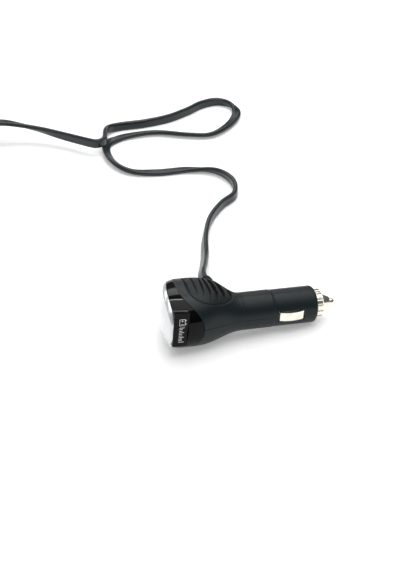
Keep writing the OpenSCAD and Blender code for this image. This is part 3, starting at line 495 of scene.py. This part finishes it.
# The skin behind the label is sunk to a depth under the face, within insets from the label's edges
labelCfg = dict(x0=-85.9, length=8.5, face=-15.2, depth=5.6, top=12.0, height=20.4, bevel=0.2,
                sunk=0.5, sunkEnd=0.4, sunkLow=0.1, sunkTop=0.2)
bezelCfg = dict(gap=0.12, edgeRound=0.25, skirt=2.7, columns=288)
cols = np.linspace(0, 360, bezelCfg["columns"], endpoint=False)
start = edgeAt(cols) + bezelCfg["gap"]
bezelEnd = plug["headLen"] - bezelCfg["skirt"]
span = bezelEnd - start
rows = [skin(start, cols, 1.4), skin(start, cols, 0.25, -0.02)]
rows += [skin(start + t * span, cols) for t in np.concatenate([[0.012], np.linspace(0.03, 0.97, 46)])]
edgeRound = bezelCfg["edgeRound"]
for q in np.radians(np.linspace(0, 90, 6)):
    rows.append(skin(bezelEnd - edgeRound * (1 - math.sin(q)), cols, edgeRound * (1 - math.cos(q))))
rows.append(skin(bezelEnd, cols, 1.5))
bezel = np.array(rows)


# Sinks what lies behind the label, so that nothing shows through its face
def behindLabel(pts):
    x, y, z = pts[..., 0], pts[..., 1], pts[..., 2]
    back = labelCfg["face"] + labelCfg["sunk"]
    under = (y < back) & (x < labelCfg["x0"] + labelCfg["length"] - labelCfg["sunkEnd"])
    under &= z < labelCfg["top"] - labelCfg["sunkTop"]
    under &= z > labelCfg["top"] - labelCfg["height"] + labelCfg["sunkLow"]
    return np.stack([x, np.where(under, back, y), z], -1)


shell = Shell()
shell.grid(behindLabel(bezel), wrapCols=True, flip=True)
shell.make("bezel_skin", "plug", matGloss, ["front_bezel"], sharp=40)


# Grid of a box with rounded edges, as rows from one X end to the other
def roundedBox(low, high, bevel, steps=3):
    quarter = np.radians(np.linspace(0, 90, steps + 1))
    loop = (quarter[None] + math.pi / 2 * np.arange(4)[:, None]).ravel()
    sideY, sideZ = np.repeat([1, -1, -1, 1], steps + 1), np.repeat([1, 1, -1, -1], steps + 1)
    ends = [(low[0] + bevel * (1 - math.cos(w)), math.sin(w)) for w in quarter]
    ends += [(high[0] - bevel * (1 - math.cos(w)), math.sin(w)) for w in quarter[::-1]]
    rows = []
    for x, reach in ends:
        y = np.where(sideY > 0, high[1] - bevel, low[1] + bevel) + bevel * reach * np.cos(loop)
        z = np.where(sideZ > 0, high[2] - bevel, low[2] + bevel) + bevel * reach * np.sin(loop)
        rows.append(np.stack([np.full(len(loop), x), y, z], -1))
    return np.array(rows)


labelLowCorner = [labelCfg["x0"], labelCfg["face"], labelCfg["top"] - labelCfg["height"]]
labelHighCorner = [labelCfg["x0"] + labelCfg["length"], labelCfg["face"] + labelCfg["depth"], labelCfg["top"]]
box = roundedBox(labelLowCorner, labelHighCorner, labelCfg["bevel"])
shell = Shell()
shell.grid(box, wrapCols=True)
shell.fan(box[0], box[0].mean(0), flip=True)
shell.fan(box[-1], box[-1].mean(0))
shell.make("label_plate", "plug", matGloss, ["label_panel"], sharp=50)

# A battery pictogram and a plain scale of ticks on the label's face
marks = Shell()
markCfg = dict(x=-83.0, line=0.34, above=0.03)
tickCfg = dict(count=10, first=3.0, pitch=0.98, start=0.2, short=2.1, long=3.2, thick=0.36, longEvery=3)


def mark(x0, x1, z0, z1):
    y = labelCfg["face"] - markCfg["above"]
    x0, x1 = markCfg["x"] + x0, markCfg["x"] + x1
    marks.grid(np.array([[[x0, y, z0], [x1, y, z0]], [[x0, y, z1], [x1, y, z1]]], float))


thin = markCfg["line"]
for z0, z1, x0, x1 in ((4.4, 4.4 + thin, 0, 3.4), (8.6 - thin, 8.6, 0, 3.4),
                       (4.4, 8.6, 0, thin), (4.4, 8.6, 3.4 - thin, 3.4),
                       (5.0, 5.8, 3.4, 4.0), (7.2, 8.0, 3.4, 4.0),
                       (5.2, 5.5, 0.9, 2.5), (7.3, 7.6, 0.9, 2.5), (6.7, 8.1, 1.55, 1.85)):
    mark(x0, x1, z0, z1)
for k in range(tickCfg["count"]):
    z = tickCfg["first"] - k * tickCfg["pitch"]
    end = tickCfg["short"] if k % tickCfg["longEvery"] else tickCfg["long"]
    mark(tickCfg["start"], end, z, z + tickCfg["thick"])
marks.make("label_marks", "plug", matMark, sharp=30)

lensCfg = dict(rows=26, columns=192, gap=0.08, edgeRound=1.3, crownY=6.0)
cols = np.linspace(0, 360, lensCfg["columns"], endpoint=False)
lensStart = bezelEnd + lensCfg["gap"]
rows = [skin(lensStart, cols, 1.5), skin(lensStart, cols, 0.15), skin(lensStart + 0.15, cols)]
edgeRound = lensCfg["edgeRound"]
rows += [skin(t, cols) for t in np.linspace(lensStart + 0.3, plug["headLen"] - edgeRound, 6)]
for q in np.radians(np.linspace(0, 78, 8))[1:]:
    rows.append(skin(plug["headLen"] - edgeRound * (1 - math.sin(q)), cols, edgeRound * (1 - math.cos(q))))
rim = skin(plug["headLen"], cols, edgeRound)
share = np.sin(np.linspace(0, math.pi / 2, lensCfg["rows"]))[::-1][:-1][:, None]
y, z = share * rim[None, :, 1] + (1 - share) * lensCfg["crownY"], share * rim[None, :, 2]


def lensX(y, z, share):
    face = (y - plug["slantFrom"]) ** 2 / (2 * plug["slantR"]) - plug["lean"] * z
    return face - plugBack - plug["bulge"] * (1 - share ** 2)


dome = np.stack([lensX(y, z, share), y, z], -1)
shell = Shell()
shell.grid(behindLabel(np.concatenate([np.array(rows), dome])), wrapCols=True, flip=True)
shell.fan(dome[-1], np.array([lensX(lensCfg["crownY"], 0.0, 0.0), lensCfg["crownY"], 0]))
shell.make("lens_dome", "plug", matLens, ["front_lens"], sharp=50)
print("stage: front", flush=True)

floorMesh = bpy.data.meshes.new("floor")
reach = 6.0
floorCorners = [(-reach, -reach, 0), (reach, -reach, 0), (reach, reach, 0), (-reach, reach, 0)]
floorMesh.from_pydata(floorCorners, [], [(0, 1, 2, 3)])
floor = bpy.data.objects.new("floor", floorMesh)
bpy.context.collection.objects.link(floor)
matPaper, paperTree, paperShader = newMaterial("paper", (0.93, 0.93, 0.93), 0.9, specular=0.0)
rays = paperTree.nodes.new("ShaderNodeLightPath").outputs
spread = paperTree.nodes.new("ShaderNodeSeparateXYZ")
paperTree.links.new(paperTree.nodes.new("ShaderNodeTexCoord").outputs["Object"], spread.inputs[0])
floorX, floorY = Sum(paperTree, spread.outputs["X"]), Sum(paperTree, spread.outputs["Y"])
# The floor stays white beyond the reach of the lamps
faraway = ((floorX * floorX + floorY * floorY) * 1.4 - 0.35).clamp() * 0.7
cameraRay, glossyRay = Sum(paperTree, rays["Is Camera Ray"]), Sum(paperTree, rays["Is Glossy Ray"])
glow = (cameraRay + glossyRay).clamp() * 0.3 + cameraRay * faraway
mixColour(paperTree, glow, (0, 0, 0), (1, 1, 1), paperShader.inputs["Emission Color"])
paperShader.inputs["Emission Strength"].default_value = 1
floorMesh.materials.append(matPaper)

world = bpy.data.worlds.new("world")
bpy.context.scene.world = world
world.use_nodes = True
tree = world.node_tree
back = tree.nodes["Background"]
coord = tree.nodes.new("ShaderNodeTexCoord")
split = tree.nodes.new("ShaderNodeSeparateXYZ")
tree.links.new(coord.outputs["Generated"], split.inputs[0])
height = Sum(tree, split.outputs["Z"])
path = tree.nodes.new("ShaderNodeLightPath")
seen = Sum(tree, path.outputs["Is Camera Ray"])
soft = (height * 1.5 - 0.1).clamp() * 0.12 + 0.09
strength = seen + (1 - seen) * soft
tree.links.new(strength.socket, back.inputs["Strength"])
back.inputs["Color"].default_value = (1, 1, 1, 1)


def softbox(name, spot, aim, size, power):
    data = bpy.data.lights.new(name, "AREA")
    data.shape, data.size, data.size_y, data.energy = "RECTANGLE", size[0], size[1], power
    obj = bpy.data.objects.new(name, data)
    obj.location = spot
    obj.rotation_euler = (Vector(aim) - Vector(spot)).to_track_quat("-Z", "Y").to_euler()
    bpy.context.collection.objects.link(obj)


softbox("topBox", (0.15, -0.04, 0.95), (0, 0.02, 0), (1.3, 0.8), 7.5)
softbox("backBox", (-0.1, 1.1, 0.66), (-0.03, 0, 0), (1.5, 0.3), 3)
softbox("leftBox", (-0.8, -0.1, 0.6), (0, 0, 0), (0.5, 0.8), 1.2)
# A small strip is placed by the mirror rule, so that its highlight lies on the bezel's shoulder
streak = dict(at=(38.6, 105.0), away=0.8, size=(0.3, 0.05), power=0.9)
spotMm = skin(*streak["at"])
spot, tip = Vector(lying(spotMm)), Vector(lying(spotMm + outward(*streak["at"])))
normal, view = (tip - spot).normalized(), (camera.matrix_world.translation - spot).normalized()
mirrored = 2 * normal.dot(view) * normal - view
softbox("streakBox", spot + mirrored * streak["away"], spot, streak["size"], streak["power"])
print("stage: light", flush=True)
